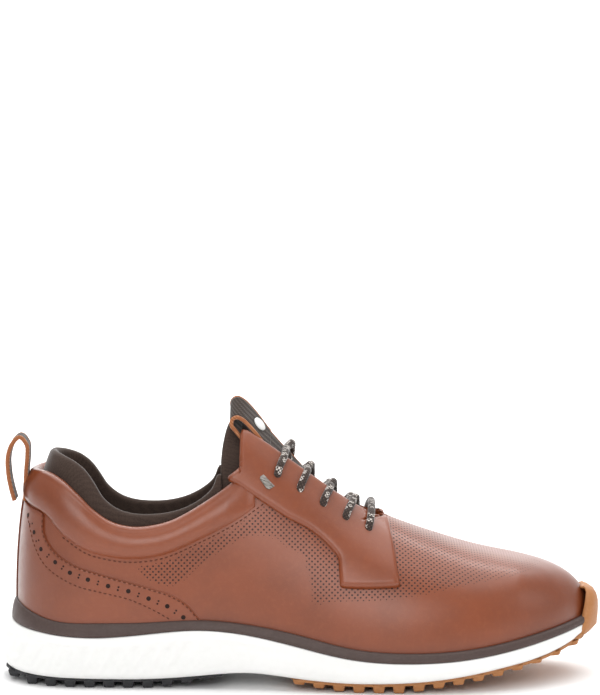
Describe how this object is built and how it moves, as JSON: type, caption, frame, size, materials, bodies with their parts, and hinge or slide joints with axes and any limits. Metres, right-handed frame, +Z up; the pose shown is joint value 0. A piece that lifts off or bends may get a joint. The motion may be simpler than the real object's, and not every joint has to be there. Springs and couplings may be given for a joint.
{
  "type": "golf shoe",
  "caption": "Right-foot lace-up golf shoe with a stretch sock collar, brogued leather upper, foam midsole and a spikeless lugged two-colour outsole.",
  "frame": {"origin": "centre of the bounding box, on the ground under the lugs", "axes": "+X from heel to toe, +Y to the wearer's inner side, +Z up"},
  "size_m": [0.3048, 0.1038, 0.1419],
  "materials": {
    "brown_leather": "smooth pull-up leather",
    "dark_webbing": "close woven webbing",
    "stretch_neoprene": "matt stretch knit over foam",
    "lining_fabric": "brushed knit",
    "collar_foam": "open-cell foam",
    "stiffener_board": "resin-stiffened fibre board",
    "badge_plastic": "satin",
    "eyelet_metal": "brushed gunmetal",
    "lace_cord": "round braid with pale flecks",
    "aglet_plastic": "clear-coated tip",
    "midsole_foam": "satin moulded EVA foam",
    "shank_steel": "rolled strip",
    "cushion_gel": "soft gel",
    "rand_rubber": "satin",
    "footbed_foam": "knit-covered foam",
    "black_rubber": "matt",
    "gum_rubber": "matt"
  },
  "bodies": {
    "shoe": {"vamp": "brown_leather", "collar_panel": "brown_leather", "foxing_lateral": "brown_leather", "eyestay_lateral": "brown_leather", "foxing_medial": "brown_leather", "eyestay_medial": "brown_leather", "backstay": "dark_webbing", "heel_counter": "stiffener_board", "toe_puff": "stiffener_board", "lining": "lining_fabric", "collar_foam": "collar_foam", "sock_collar": "stretch_neoprene", "tongue": "stretch_neoprene", "tongue_loop_anchor": "dark_webbing", "eyelet_plate_lateral": "eyelet_metal", "eyelet_plate_medial": "eyelet_metal", "lace": "lace_cord", "aglet_lateral": "aglet_plastic", "aglet_medial": "aglet_plastic", "midsole": "midsole_foam", "shank": "shank_steel", "heel_cushion": "cushion_gel", "midsole_rand": "rand_rubber", "insole_board": "stiffener_board", "footbed": "footbed_foam", "heel_outsole": "black_rubber", "forefoot_outsole": "gum_rubber"},
    "tongue_flap": {"tongue_top": "stretch_neoprene", "tongue_loop": "dark_webbing", "tongue_badge": "badge_plastic"},
    "heel_pull": {"heel_loop": "dark_webbing"}
  },
  "joints": [
    {"name": "tongue_flap_fold", "type": "hinge", "parent": "shoe", "child": "tongue_flap", "pos_m": [-0.0152, 0.0008, 0.1146], "axis": [0, 1, 0], "range_deg": [0, 25]},
    {"name": "heel_pull_swing", "type": "hinge", "parent": "shoe", "child": "heel_pull", "pos_m": [-0.1413, 0.0008, 0.0893], "axis": [0, 1, 0], "range_deg": [-70, 0]}
  ]
}
